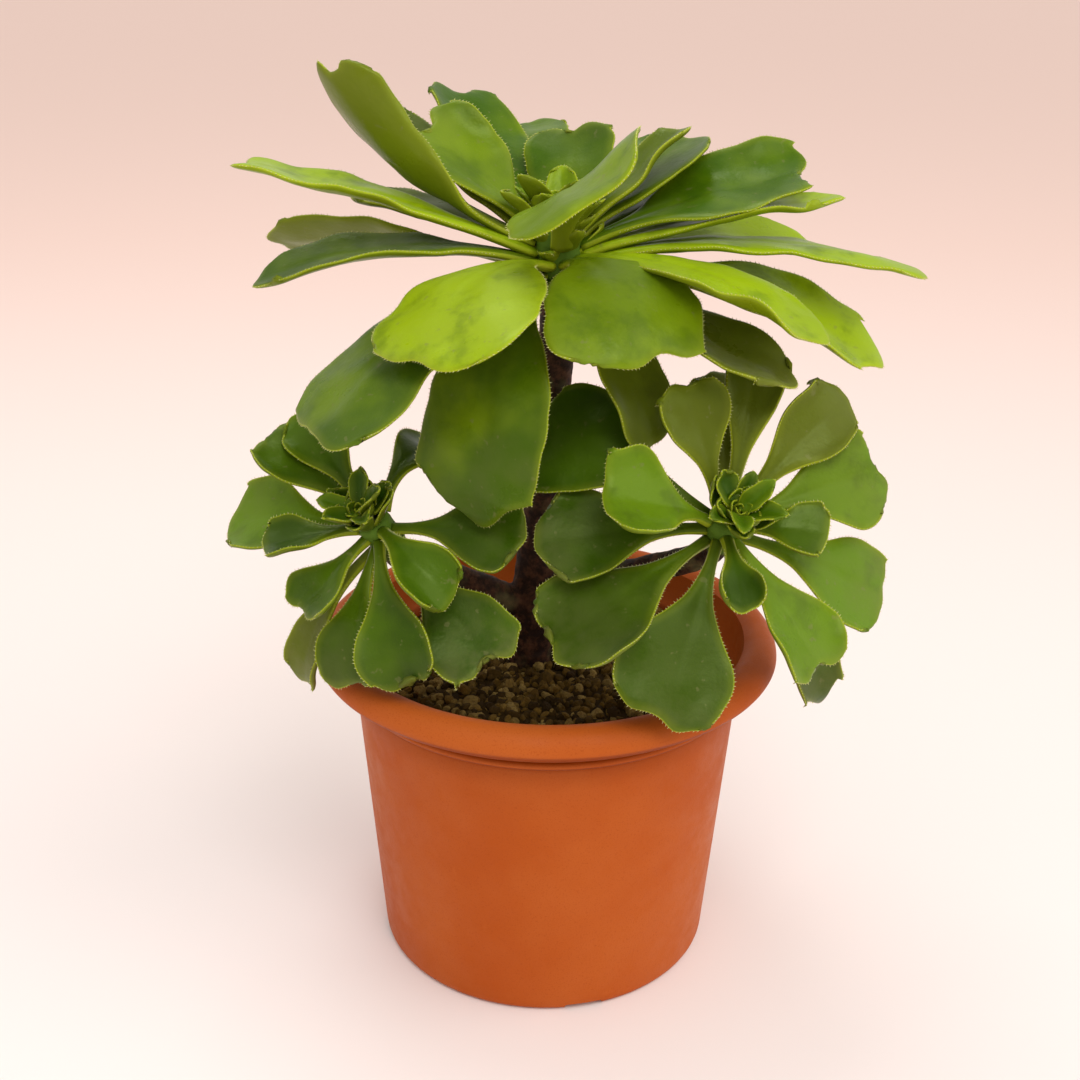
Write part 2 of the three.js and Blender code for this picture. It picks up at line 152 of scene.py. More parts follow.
SOIL_TOP = {
    "below_cad": 1.2 * MM,  # the loose grains fill this
    "fall": 2.5 * MM,  # from the middle to the edge
    "side_drop": 3 * MM,  # how far below the top's edge its side ends
    "lump": 0.5 * MM,
    "lump_length": 9 * MM,
    "rings": 26,
    "sides": 96,
}

GRIT = {
    "grains": 3600,
    "size": (0.85 * MM, 1.75 * MM),  # radius of the smallest and largest grain
    "kinds": 24,
    "squash": (0.62, 1.15),
    "bumps": ((0.45, 0.9), (0.12, 3)),  # height and number of the coarse and the fine bumps
    "sink": (-0.5, 0.55),  # how far a grain's middle is from the soil's top, as a share of its size
}

STEM = {
    "voxel": 0.6 * MM,
    "crown_reach": 11 * MM,  # how far the green of a crown goes along the stem
    "crown_radius": 25 * MM,
    "crown_swell": 0.9 * MM,
    "scar_length": 2.6 * MM,
    "scar_depth": 0.45 * MM,
    "rough_length": 1.1 * MM,
    "rough_depth": 0.12 * MM,
}

BUD = {
    "leaves": 15,
    "turn": 137.5,
    "rise": (35, 84),  # degrees, of the outermost and the innermost leaf
    "length": (1, 0.24),  # as a share of the CAD bud's height
    "stoutness": (0.75, 0.4),
    "sunny": (0.25, 0.55),
    "opening": 18,  # degrees that a leaf turns upwards from its base to its tip
    "width": 0.62,
    "lift": 0.25,  # how far up the bud the innermost leaf starts
}

# The middle surface of a young leaf; lengths are shares of its length, and way goes from 0 to 1
YOUNG_SHAPE = {
    "steps": 8,
    "start": 0.1,  # how far from the crown's axis it begins
    "stalk": 0.35,  # width of its base, as a share of its full width
    "broad_by": 0.7,  # way along at which it is as broad as it gets
    "round_from": 0.6,
    "round_over": 0.42,
    "blunt": 0.12,
    "curl": 0.45,
    "pull_back": 0.1,  # how far the tip's corners are drawn back
}

# Rings of half-grown leaves below each bud, and what all of them share
YOUNG_LEAF = {
    "length_spread": (0.75, 1.0),
    "width": 0.5,
    "drop": 14,  # degrees that a leaf turns downwards from its base to its tip
    "climb": 14,  # degrees by which the ring's last leaf stands steeper than its first
    "lean": 4,
    "higher": 0.5,  # how much nearer to the bud the last leaf starts
    "stoutness": 0.8,
    "fullness": 0.3,
    "sunny": (0.0, 0.5),
}
YOUNG = {
    "top": (
        {"count": 11, "first": 60, "length": 19 * MM, "rise": 52, "below": 10 * MM},
        {"count": 9, "first": 245, "length": 15 * MM, "rise": 48, "below": 17 * MM},
    ),
    "left": ({"count": 6, "first": 20, "length": 13 * MM, "rise": 40, "below": 5 * MM},),
    "right": ({"count": 6, "first": 75, "length": 13 * MM, "rise": 40, "below": 5 * MM},),
}

# Colours are linear RGB
GREEN = {
    "top": {"deep": (0.030, 0.090, 0.0006), "sunny": (0.34, 0.48, 0.004), "back": (0.16, 0.19, 0.006)},
    "side": {"deep": (0.022, 0.062, 0.0006), "sunny": (0.12, 0.23, 0.004), "back": (0.09, 0.11, 0.008)},
    "olive": (0.15, 0.15, 0.012),
    "margin": (0.45, 0.50, 0.02),
    "dust": (0.19, 0.18, 0.07),
}
TERRACOTTA = {
    "base": (0.44, 0.076, 0.004),
    "pale": (0.54, 0.13, 0.022),
    "dark": (0.34, 0.052, 0.003),
    "shaded": (0.20, 0.026, 0.001),
}
SOIL = {"dark": (0.040, 0.019, 0.002), "mid": (0.22, 0.12, 0.018), "pale": (0.46, 0.30, 0.09)}
BARK = {"dark": (0.022, 0.007, 0.003), "pale": (0.13, 0.05, 0.022), "green": (0.09, 0.17, 0.006)}
HAIR = {"green": (0.55, 0.58, 0.12), "pale": (0.78, 0.74, 0.36)}
# The paper's colour near the object and far from it; the far colour is painted shade, darker and pinker
FLOOR = {
    "near": (0.94, 0.86, 0.82),
    "far": (0.96, 0.71, 0.62),
    "span": (-0.2, 1.0),  # from where to where, along Y, near turns into far
    "rings": (0, 0.5, 2, 9),
}
SKY = {"colour": (1.0, 0.965, 0.94, 1.0), "strength": 0.62}

# Name, kind, place and power of each light, its colour and what else its kind needs
LIT_POINT = (0, 0, 0.12)
SOFTBOX = {"shape": "DISK", "size": 0.55}
LIGHTS = (
    ("key", "SUN", (1.1, -0.35, 0.95), 1.0, (1.0, 0.97, 0.93), {"angle": math.radians(55)}),
    ("fill", "SUN", (-0.8, -0.6, 1.1), 0.25, (0.97, 0.98, 1.0), {"angle": math.radians(80)}),
    ("softbox", "AREA", (-0.2, 0.3, 1.2), 3.0, (0.97, 0.98, 1.0), SOFTBOX),
    ("window", "AREA", (0.2, -0.75, 1.05), 4.5, (0.96, 0.98, 1.0), SOFTBOX),
)

# ---------------- frame

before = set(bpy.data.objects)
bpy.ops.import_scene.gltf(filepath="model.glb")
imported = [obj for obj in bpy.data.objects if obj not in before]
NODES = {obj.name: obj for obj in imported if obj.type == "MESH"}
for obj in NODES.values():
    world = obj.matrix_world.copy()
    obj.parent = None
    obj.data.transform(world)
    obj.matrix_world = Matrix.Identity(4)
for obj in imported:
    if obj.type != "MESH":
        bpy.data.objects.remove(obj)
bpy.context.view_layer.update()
CROWNS = ("top", "left", "right")

# First seeds of the random draws, and how far apart those of two crowns are
SEEDS = {"leaf": 100, "bud": 900, "young": 700, "young_shape": 40, "crown_step": 20}

# ---------------- small helpers


def linked(name, data):
    """A new object in the scene that shows a mesh, a light or a camera."""
    piece = bpy.data.objects.new(name, data)
    bpy.context.collection.objects.link(piece)
    return piece


def new_object(name, vertices, faces, material, smooth=True):
    """A mesh object in the scene from plain lists."""
    mesh = bpy.data.meshes.new(name)
    mesh.from_pydata([tuple(v) for v in vertices], [], faces)
    mesh.update()
    if smooth:
        mesh.shade_smooth()
    mesh.materials.append(material)
    return linked(name, mesh)


def vertex_places(piece):
    """Where a mesh object's vertices are, as an array."""
    places = np.empty(len(piece.data.vertices) * 3, dtype=np.float32)
    piece.data.vertices.foreach_get("co", places)
    return places.reshape(-1, 3).astype(float)


def vertex_normals(piece):
    """The direction out of a mesh object at each of its vertices, as an array."""
    normals = np.empty(len(piece.data.vertices) * 3, dtype=np.float32)
    piece.data.vertex_normals.foreach_get("vector", normals)
    return normals.reshape(-1, 3)


def move_vertices(piece, places):
    piece.data.vertices.foreach_set("co", places.ravel().astype(np.float32))
    piece.data.update()


def set_attribute(piece, name, values):
    """A colour attribute of three numbers a vertex, for the material to read."""
    attribute = piece.data.color_attributes.new(name=name, type="FLOAT_COLOR", domain="POINT")
    rgba = np.ones((len(values), 4), dtype=np.float32)
    rgba[:, :3] = values
    attribute.data.foreach_set("color", rgba.ravel())


def install(piece, slot, *nodes):
    """Puts a finished piece on the object in place of the CAD nodes that it stands for."""
    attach(piece, "root")
    if nodes:
        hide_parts(*nodes)


def box_centre(node):
    """The middle of a CAD node's box."""
    low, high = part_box(node)
    return (np.array(low) + np.array(high)) / 2


def spline(rows, at):
    """Values of a smooth curve through rows at fractional row numbers."""
    padded = np.concatenate([2 * rows[:1] - rows[1:2], rows, 2 * rows[-1:] - rows[-2:-1]])
    first = np.minimum(at.astype(int), len(rows) - 2)
    share = (at - first).reshape((-1,) + (1,) * (rows.ndim - 1))
    a, b, c, d = (padded[first + step] for step in range(4))
    cubic = 3 * (b - c) + d - a
    square = 2 * a - 5 * b + 4 * c - d
    return b + 0.5 * share * ((c - a) + share * (square + share * cubic))


def smooth_step(values, low, high):
    share = np.clip((values - low) / (high - low), 0, 1)
    return share * share * (3 - 2 * share)


def blend(pair, share):
    """A value between the first and the second of a pair."""
    return pair[0] + (pair[1] - pair[0]) * share


def unit(vectors):
    length = np.linalg.norm(vectors, axis=-1, keepdims=True)
    return vectors / np.maximum(length, 1e-12)


def noise_at(points, length, seed):
    """Smooth noise, about -1 to 1, at each point of an array of points."""
    shift = Vector((seed * 7.31, seed * 3.17, seed * 5.53))
    flat = points.reshape(-1, 3) / length
    values = [noise.noise(Vector(point) + shift) for point in flat]
    return np.array(values).reshape(points.shape[:-1])


# ---------------- material helpers


class Shader:
    """A material's node tree with one line for each kind of node it needs."""

    def __init__(self, name):
        self.material = bpy.data.materials.new(name)
        self.material.use_nodes = True
        self.tree = self.material.node_tree
        self.main = self.tree.nodes["Principled BSDF"]

    def add(self, kind, inputs=None, **settings):
        node = self.tree.nodes.new(kind)
        for key, value in settings.items():
            setattr(node, key, value)
        for key, value in (inputs or {}).items():
            self.feed(node.inputs[key], value)
        return node

    def feed(self, socket, value):
        if isinstance(value, bpy.types.NodeSocket):
            self.tree.links.new(value, socket)
        elif isinstance(value, tuple) and len(value) == 3 and len(socket.default_value) == 4:
            socket.default_value = (*value, 1.0)
        else:
            socket.default_value = value

    def place(self):
        return self.add("ShaderNodeTexCoord").outputs["Object"]

    def noise(self, scale, detail=3.0, roughness=0.5, vector=None):
        inputs = {"Scale": scale, "Detail": detail, "Roughness": roughness}
        inputs["Vector"] = vector or self.place()
        return self.add("ShaderNodeTexNoise", inputs).outputs["Fac"]

    def attribute(self, name):
        """The three numbers of a colour attribute."""
        colour = self.add("ShaderNodeAttribute", attribute_name=name).outputs["Color"]
        parts = self.add("ShaderNodeSeparateColor", {"Color": colour})
        return parts.outputs[0], parts.outputs[1], parts.outputs[2]

    def span(self, value, low, high, to_low=0.0, to_high=1.0):
        """value mapped from low..high to to_low..to_high, smoothly and within those limits."""
        inputs = {0: value, 1: low, 2: high, 3: to_low, 4: to_high}
        node = self.add("ShaderNodeMapRange", inputs, interpolation_type="SMOOTHSTEP")
        return node.outputs[0]

    def math(self, kind, a, b=0.0):
        return self.add("ShaderNodeMath", {0: a, 1: b}, operation=kind).outputs[0]

    def mix(self, share, a, b, kind="MIX"):
        node = self.add("ShaderNodeMix", data_type="RGBA", blend_type=kind)
        self.feed(node.inputs[0], share)
        self.feed(node.inputs[6], a)
        self.feed(node.inputs[7], b)
        return node.outputs[2]

    def bump(self, height, strength, distance):
        inputs = {"Height": height, "Strength": strength, "Distance": distance}
        return self.add("ShaderNodeBump", inputs).outputs["Normal"]

    def finish(self, **inputs):
        for key, value in inputs.items():
            self.feed(self.main.inputs[key.replace("_", " ")], value)
        return self.material


# ---------------- materials


# Scale, detail and roughness of the noise behind each kind of mark
LEAF_MARKS = {
    "mottle": (95, 4, 0.62),
    "patches": (34, 3, 0.55),
    "fine": (900, 2, 0.5),
    "dust": (60, 5, 0.65),
    "flecks": (420, 2, 0.5),
    "sheen": (60, 4, 0.6),
}
POT_MARKS = {"speckle": (2600, 2, 0.6), "cloud": (22, 4, 0.55), "scuff": (130, 5, 0.7)}
SOIL_MARKS = {"stain": (1400, 4, 0.7), "relief": (1800, 5, 0.7)}
BARK_MARKS = {"streaks": (300, 5, 0.7), "lichen": (120, 3)}


def leaf_material(name, green):
    """A waxy leaf: deep green or yellow-green, mottled, olive underneath, yellow at the margin.

    Attribute leaf_place holds the distance from the margin in millimetres, the way along the
    leaf and 1 on its upper face; leaf_kind holds how sunny, how olive and how dusty it is.
    """
    shader = Shader(name)
    edge, way, upper = shader.attribute("leaf_place")
    sunny, olive, dust = shader.attribute("leaf_kind")
    mottle = shader.noise(*LEAF_MARKS["mottle"])
    patches = shader.noise(*LEAF_MARKS["patches"])
    fine = shader.noise(*LEAF_MARKS["fine"])
    face = shader.mix(shader.span(sunny, 0.0, 1.0), green["deep"], green["sunny"])
    brighter = shader.math("MULTIPLY", shader.span(patches, 0.40, 0.68), 0.34)
    face = shader.mix(brighter, face, green["sunny"])
    darker = shader.math("MULTIPLY", shader.span(mottle, 0.48, 0.72), 0.45)
    face = shader.mix(darker, face, green["deep"])
    face = shader.mix(shader.math("MULTIPLY", olive, 0.7), face, GREEN["olive"])
    back = shader.mix(shader.span(patches, 0.35, 0.7, 0.15, 0.6), green["back"], face)
    colour = shader.mix(upper, back, face)
    outer = shader.math("MULTIPLY", dust, shader.span(way, 0.4, 0.95, 0.3, 1.0))
    dust_cloud = shader.span(shader.noise(*LEAF_MARKS["dust"]), 0.36, 0.6)
    dusty = shader.math("MULTIPLY", dust_cloud, outer)
    colour = shader.mix(shader.math("MULTIPLY", dusty, 0.65), colour, GREEN["dust"])
    fleck_noise = shader.noise(*LEAF_MARKS["flecks"])
    flecks = shader.math("MULTIPLY", shader.span(fleck_noise, 0.66, 0.74), 0.35)
    colour = shader.mix(flecks, colour, GREEN["dust"])
    yellow = shader.span(edge, 0.08, 0.38, 0.6, 0.0)
    halo = shader.span(edge, 0.3, 2.6, 0.11, 0.0)
    colour = shader.mix(shader.math("MAXIMUM", yellow, halo), colour, GREEN["margin"])
    sheen = shader.span(shader.noise(*LEAF_MARKS["sheen"]), 0.35, 0.7, 0.27, 0.42)
    rough = shader.math("ADD", sheen, shader.math("MULTIPLY", dusty, 0.3))
    relief = shader.math("ADD", shader.math("MULTIPLY", fine, 0.3), mottle)
    normal = shader.bump(relief, 0.3, 0.0007)
    return shader.finish(
        Base_Color=colour, Roughness=rough, Normal=normal, Specular_IOR_Level=0.27,
        Specular_Tint=(0.85, 1.0, 0.4),
        Subsurface_Weight=0.1, Subsurface_Radius=(0.7, 1.0, 0.1), Subsurface_Scale=0.001,
    )


def tooth_material():
    shader = Shader("leaf_teeth")
    colour = shader.mix(shader.noise(400), HAIR["green"], HAIR["pale"])
    return shader.finish(Base_Color=colour, Roughness=0.5)


def pot_material():
    """Matt moulded plastic: finely speckled, a little paler where it is scuffed.

    Attribute shade is how much darker it is, in the hollows under the lip.
    """
    shader = Shader("pot_plastic")
    speckle = shader.noise(*POT_MARKS["speckle"])
    cloud = shader.noise(*POT_MARKS["cloud"])
    scuff = shader.noise(*POT_MARKS["scuff"])
    cloudy = shader.span(cloud, 0.3, 0.7, 0.0, 0.5)
    colour = shader.mix(cloudy, TERRACOTTA["base"], TERRACOTTA["pale"])
    colour = shader.mix(shader.span(speckle, 0.52, 0.75, 0.0, 0.5), colour, TERRACOTTA["dark"])
    colour = shader.mix(shader.span(scuff, 0.62, 0.75, 0.0, 0.25), colour, TERRACOTTA["pale"])
    shade, _, _ = shader.attribute("shade")
    colour = shader.mix(shade, colour, TERRACOTTA["shaded"])
    rough = shader.span(scuff, 0.3, 0.7, 0.42, 0.6)
    relief = shader.math("ADD", speckle, shader.math("MULTIPLY", scuff, 0.4))
    normal = shader.bump(relief, 0.18, 0.0003)
    return shader.finish(Base_Color=colour, Roughness=rough, Normal=normal, Specular_IOR_Level=0.14)


def soil_material():
    """Gritty mix. Attribute grain holds a tone of its own for each grain."""
    shader = Shader("soil_grit")
    tone, damp, _ = shader.attribute("grain")
    colour = shader.mix(shader.span(tone, 0.1, 0.75), SOIL["dark"], SOIL["mid"])
    colour = shader.mix(shader.span(tone, 0.72, 1.0), colour, SOIL["pale"])
    stain = shader.span(shader.noise(*SOIL_MARKS["stain"]), 0.4, 0.7, 0.0, 0.5)
    colour = shader.mix(stain, colour, SOIL["dark"])
    colour = shader.mix(shader.math("MULTIPLY", damp, 0.4), colour, SOIL["dark"])
    normal = shader.bump(shader.noise(*SOIL_MARKS["relief"]), 0.6, 0.0006)
    return shader.finish(Base_Color=colour, Roughness=0.9, Normal=normal, Specular_IOR_Level=0.2)


def bark_material():
    """Woody bark that turns green towards the crowns, as attribute crown_near says."""
    shader = Shader("stem_bark")
    streaks = shader.noise(*BARK_MARKS["streaks"])
    colour = shader.mix(shader.span(streaks, 0.4, 0.7), BARK["dark"], BARK["pale"])
    lichen = shader.span(shader.noise(*BARK_MARKS["lichen"]), 0.5, 0.7, 0.0, 0.5)
    colour = shader.mix(lichen, colour, GREEN["dust"])
    near, _, _ = shader.attribute("crown_near")
    green = shader.math("ADD", near, shader.span(streaks, 0.4, 0.7, -0.12, 0.12))
    colour = shader.mix(shader.span(green, 0.3, 0.75), colour, BARK["green"])
    normal = shader.bump(streaks, 0.6, 0.001)
    return shader.finish(Base_Color=colour, Roughness=0.75, Normal=normal, Specular_IOR_Level=0.3)


def floor_material():
    """Pale seamless paper, with painted shade that makes it darker and pinker far from the object."""
    shader = Shader("floor_paper")
    place = shader.add("ShaderNodeSeparateXYZ", {0: shader.place()})
    far = shader.span(place.outputs[1], *FLOOR["span"])
    colour = shader.mix(far, FLOOR["near"], FLOOR["far"])
    return shader.finish(Base_Color=colour, Roughness=0.9)


# ---------------- leaves

AROUND = 8  # points round each station of a CAD leaf
ACROSS = 5  # points from one margin to the other


def ring_round(heel):
    """The vertices round the heel of a CAD leaf, in order."""
    follows = {}
    for face in heel.link_faces:
        loop = next(loop for loop in face.loops if loop.vert == heel)
        ahead = loop.link_loop_next.vert
        behind = loop.link_loop_prev.vert
        follows[behind] = ahead
    ring = [next(iter(follows))]
    while len(ring) < AROUND:
        ring.append(follows[ring[-1]])
    return ring


def ring_beyond(ring, done):
    """The next ring of a CAD leaf, matched to this one vertex by vertex."""
    beyond = [None] * AROUND
    for index in range(AROUND):
        pair = (ring[index], ring[(index + 1) % AROUND])
        for face in pair[0].link_faces:
            if face in done or pair[1] not in face.verts:
                continue
            beyond[(index + 1) % AROUND] = next(v for v in face.verts if v not in pair)
    done.update(face for vertex in ring for face in vertex.link_faces)
    return beyond


def read_leaf(node, axis):
    """A CAD leaf's middle surface, station by station and from its left margin to its right."""
    solid = bmesh.new()
    solid.from_mesh(node.data)
    bmesh.ops.remove_doubles(solid, verts=solid.verts, dist=1e-6)
    heel = next(vertex for vertex in solid.verts if len(vertex.link_edges) == AROUND)
    done = set(heel.link_faces)
    rings = [ring_round(heel)]
    total = len(solid.verts) - 1
    while len({vertex for ring in rings for vertex in ring}) < total:
        rings.append(ring_beyond(rings[-1], done))
    tip = rings[-1]
    first = next(index for index in range(AROUND) if tip.count(tip[index]) == 1)
    places = np.array([[tuple(vertex.co) for vertex in ring] for ring in rings])
    solid.free()
    places = np.roll(places, -first, axis=1)
    rise = places[1, 1:4].mean(axis=0) - places[1, 5:8].mean(axis=0)
    if rise @ axis < 0:
        places = np.roll(places, -AROUND // 2, axis=1)
    above = places[:, :ACROSS]
    below = places[:, [0, 7, 6, 5, 4]]
    return (above + below) / 2


def fine_grid(coarse):
    """The middle surface on a fine grid that is closest near the margins, for rounding them."""
    before_tip = len(coarse) - 2
    tip = np.array(GRID["tip_rows"])
    along = np.concatenate([np.linspace(0, before_tip, GRID["rows"]), before_tip + tip])
    margin = np.array(GRID["margin"])
    middle = np.linspace(0.5, ACROSS - 1.5, GRID["columns"])
    across = np.concatenate([margin, middle, ACROSS - 1 - margin[::-1]])
    grid = spline(coarse, along)
    grid = spline(grid.transpose(1, 0, 2), across).transpose(1, 0, 2)
    return grid


def upward(grid):
    """The direction of the upper face at each point of the grid."""
    along = np.gradient(grid, axis=0)
    across = np.gradient(grid, axis=1)
    return unit(np.cross(across, along))


def distance_in(grid):
    """Distance from each point of the grid to the nearest margin, to the left and to the right one."""
    steps = np.linalg.norm(np.diff(grid, axis=1), axis=2)
    from_left = np.concatenate([np.zeros((len(grid), 1)), np.cumsum(steps, axis=1)], axis=1)
    from_right = from_left[:, -1:] - from_left
    rows = np.linalg.norm(np.diff(grid, axis=0), axis=2)
    gone = np.concatenate([np.zeros((1, grid.shape[1])), np.cumsum(rows, axis=0)])
    from_tip = gone[-1:] - gone
    return np.minimum(np.minimum(from_left, from_right), from_tip), from_left, from_right


def fill_stalk(grid, fullness):
    """Makes a leaf broader or narrower between its heel and its blade."""
    way = np.linspace(0, 1, len(grid))
    scale = 1 + fullness * np.interp(way, STALK["ways"], STALK["shares"])
    centre = grid[:, grid.shape[1] // 2][:, None]
    return centre + (grid - centre) * scale[:, None, None]


def edge_noise(along, line, seed):
    """Smooth noise along an edge of a leaf; line says which line through the noise it follows."""
    at = [along] + [np.full(len(along), number) for number in line]
    return noise_at(np.stack(at, axis=-1), 1.0, seed)


def side_scale(way, sign, seed):
    """How much broader or narrower than even a leaf is, along one of its sides."""
    slow = edge_noise(way * SIDE_WAVES["slow"], (sign * 4.3, 0.37), seed)
    fine = edge_noise(way * SIDE_WAVES["fine"], (sign * 6.4, 0.71), seed + 9)
    lobes = slow + SIDE_WAVES["fine_share"] * fine
    return 1 + smooth_step(way, *SIDE_WAVES["span"]) * LEAF["lobe"] * (lobes - SIDE_WAVES["inward"])


def tip_push(side, seed, notched):
    """How far the tip's edge goes outwards from one side to the other, in tip lobes."""
    at, line, finer = side * TIP_WAVES["slow"], np.array((8.4, 0.45)), TIP_WAVES["finer"]
    slow = edge_noise(at, line, seed + 3)
    fine = edge_noise(at * finer, line * finer, seed + 5)
    lobes = slow + TIP_WAVES["fine_share"] * fine - TIP_WAVES["inward"]
    if notched:
        centre = NOTCH["off_centre"] * (seed % 5 - 2)
        lobes = lobes - LEAF["notch"] * np.exp(-((side - centre) / NOTCH["half_width"]) ** 2)
    return lobes


def shape_outline(grid, seed, notched):
    """Makes a leaf's two sides and its tip uneven, mostly inwards so that it keeps its size."""
    rows, columns = grid.shape[:2]
    way = np.linspace(0, 1, rows)
    side = np.linspace(-1, 1, columns)
    centre = grid[:, columns // 2][:, None]
    shaped = grid.copy()
    for sign in (-1, 1):
        scale = side_scale(way, sign, seed)
        half = side * sign > 0
        shaped[:, half] = (centre + (grid - centre) * scale[:, None, None])[:, half]
    midrib = grid[:, columns // 2]
    ahead = midrib[-1] - midrib[-len(GRID["tip_rows"])]
    length = np.linalg.norm(np.diff(midrib, axis=0), axis=1).sum()
    near_tip = smooth_step(way, *TIP_WAVES["span"])
    push = near_tip[:, None] * tip_push(side, seed, notched) * LEAF["tip_lobe"] * length
    return shaped + push[..., None] * unit(ahead)


def shape_blade(grid, seed, stoutness, fullness, cup, notched):
    """Adds the slow unevenness and the raised and ruffled margins that a grown leaf has."""
    grid = shape_outline(fill_stalk(grid, fullness), seed, notched)
    up = upward(grid)
    inside, _, _ = distance_in(grid)
    width = np.linalg.norm(grid[:, -1] - grid[:, 0], axis=1)
    broad = np.clip(width / width.max(), 0, 1)[:, None] ** 2
    side = np.linspace(-1, 1, grid.shape[1])
    slow = noise_at(grid, LEAF["wave_length"], seed) * LEAF["wave"]
    slow = slow + cup * (np.abs(side) ** 3 - LEAF["cup_sink"])
    near_margin = np.exp(-inside / LEAF["ruffle_reach"])
    ruffle = noise_at(grid, LEAF["ruffle_length"], seed + 50) * LEAF["ruffle"] * near_margin
    return grid + up * ((slow + ruffle) * broad * stoutness)[..., None]


def cells(sheet):
    """The four corners of each cell of a grid of vertex numbers."""
    return np.stack([sheet[:-1, :-1], sheet[:-1, 1:], sheet[1:, 1:], sheet[1:, :-1]], axis=-1)


def leaf_faces(rows, columns):
    """Faces of a closed leaf: an upper and a lower sheet that share their margin vertices."""
    upper = np.arange(rows * columns).reshape(rows, columns)
    lower = upper.copy()
    inner = (rows - 1) * (columns - 2)
    lower[:-1, 1:-1] = rows * columns + np.arange(inner).reshape(rows - 1, columns - 2)
    pairs = np.stack([cells(upper), cells(lower)[..., ::-1]], axis=2)
    heel = np.concatenate([upper[0], lower[0, -2:0:-1]])[::-1]
    return pairs.reshape(-1, 4).tolist() + [heel.tolist()]


def blade_surfaces(grid, stoutness):
    """Upper and lower sheets of a leaf, thick along the petiole and rounded at the margin."""
    up = upward(grid)
    inside, from_left, from_right = distance_in(grid)
    way = np.linspace(0, 1, len(grid))[:, None]
    thinner = LEAF["thickness"] - LEAF["petiole_thickness"]
    thickness = LEAF["petiole_thickness"] + thinner * np.minimum(1, way * 2)
    most = (from_left + from_right) * LEAF["edge_share"]
    reach = np.minimum(LEAF["edge_round"] * stoutness, most)
    inward = np.clip(inside / reach, 0, 1)
    half = 0.5 * thickness * stoutness * np.sqrt(1 - (1 - inward) ** 2)
    centre = np.abs(from_left - from_right) / 2
    groove = LEAF["midrib_depth"] * np.exp(-(centre / LEAF["midrib_width"]) ** 2)
    fade_in, fade_out = LEAF["midrib_fade"]
    groove = groove * np.clip((1 - way) * fade_out, 0, 1) * np.clip(way * fade_in, 0, 1) * stoutness
    above = grid + up * (half - groove)[..., None]
    below = grid - up * (half + LEAF["midrib_below"] * groove)[..., None]
    above[-1], below[-1] = grid[-1], grid[-1]
    above[:, [0, -1]] = grid[:, [0, -1]]
    return above, below, inside


def margin_line(grid):
    """Points round the leaf's margin and the direction out of the leaf at each."""
    first = TOOTH["first"]
    left, right, tip = grid[first:, 0], grid[first:, -1][::-1], grid[-1, 1:-1]
    points = np.concatenate([left, tip, right])
    inner, far_inner = TOOTH["inner"], -1 - TOOTH["inner"]
    inside = (grid[first:, inner], grid[far_inner, 1:-1], grid[first:, far_inner][::-1])
    return points, unit(points - np.concatenate(inside))


def teeth(grid, rng, size):
    """Small pointed hairs along the margin, as vertices and faces."""
    points, outward = margin_line(grid)
    steps = np.linalg.norm(np.diff(points, axis=0), axis=1)
    gone = np.concatenate([[0], np.cumsum(steps)])
    vertices, faces = [], []
    at = TOOTH["spacing"]
    while at < gone[-1]:
        base = np.array([np.interp(at, gone, points[:, k]) for k in range(3)])
        out = unit(np.array([np.interp(at, gone, outward[:, k]) for k in range(3)]))
        lean = unit(out + rng.uniform(-TOOTH["lean"], TOOTH["lean"], 3))
        length = TOOTH["length"] * size * rng.uniform(*TOOTH["length_spread"])
        side = unit(np.cross(out, rng.uniform(-1, 1, 3)))
        other = np.cross(out, side)
        start = len(vertices)
        for corner in range(3):
            turn = 2 * math.pi / 3 * corner
            offset = math.cos(turn) * side + math.sin(turn) * other
            vertices.append(base - out * TOOTH["root"] + offset * TOOTH["radius"] * size)
        vertices.append(base + lean * length)
        faces += [(start, start + 1, start + 3), (start + 1, start + 2, start + 3)]
        faces += [(start + 2, start, start + 3), (start + 2, start + 1, start)]
        at += TOOTH["spacing"] * rng.uniform(*TOOTH["spacing_spread"])
    return vertices, faces


def build_leaf(
    name, coarse, materials, seed, kind, stoutness=1.0, fullness=0.0, cup=0.0, notched=False,
):
    """A fine leaf round a coarse middle surface, with its attributes and its toothed margin.

    kind says how sunny, how olive and how dusty it is, each from 0 to 1.
    """
    rng = np.random.default_rng(seed)
    grid = shape_blade(fine_grid(coarse), seed, stoutness, fullness, cup, notched)
    above, below, inside = blade_surfaces(grid, stoutness)
    rows, columns = grid.shape[:2]
    faces = leaf_faces(rows, columns)
    vertices = np.concatenate([above.reshape(-1, 3), below[:-1, 1:-1].reshape(-1, 3)])
    way = np.repeat(np.linspace(0, 1, rows)[:, None], columns, axis=1)
    place = np.stack([inside / MM, way, np.ones_like(way)], axis=-1)
    under = place.copy()
    under[..., 2] = 0
    place = np.concatenate([place.reshape(-1, 3), under[:-1, 1:-1].reshape(-1, 3)])
    tooth_vertices, tooth_faces = teeth(grid, rng, stoutness)
    count = len(vertices)
    everything = np.concatenate([vertices, np.array(tooth_vertices)])
    faces = faces + [tuple(index + count for index in face) for face in tooth_faces]
    leaf = new_object(name, everything, faces, materials[0])
    leaf.data.materials.append(materials[1])
    is_tooth = np.zeros(len(faces), dtype=np.int32)
    is_tooth[len(faces) - len(tooth_faces):] = 1
    leaf.data.polygons.foreach_set("material_index", is_tooth)
    at_teeth = np.tile([0.0, 1.0, 1.0], (len(tooth_vertices), 1))
    set_attribute(leaf, "leaf_place", np.concatenate([place, at_teeth]))
    set_attribute(leaf, "leaf_kind", np.tile(kind, (len(everything), 1)))
    return leaf


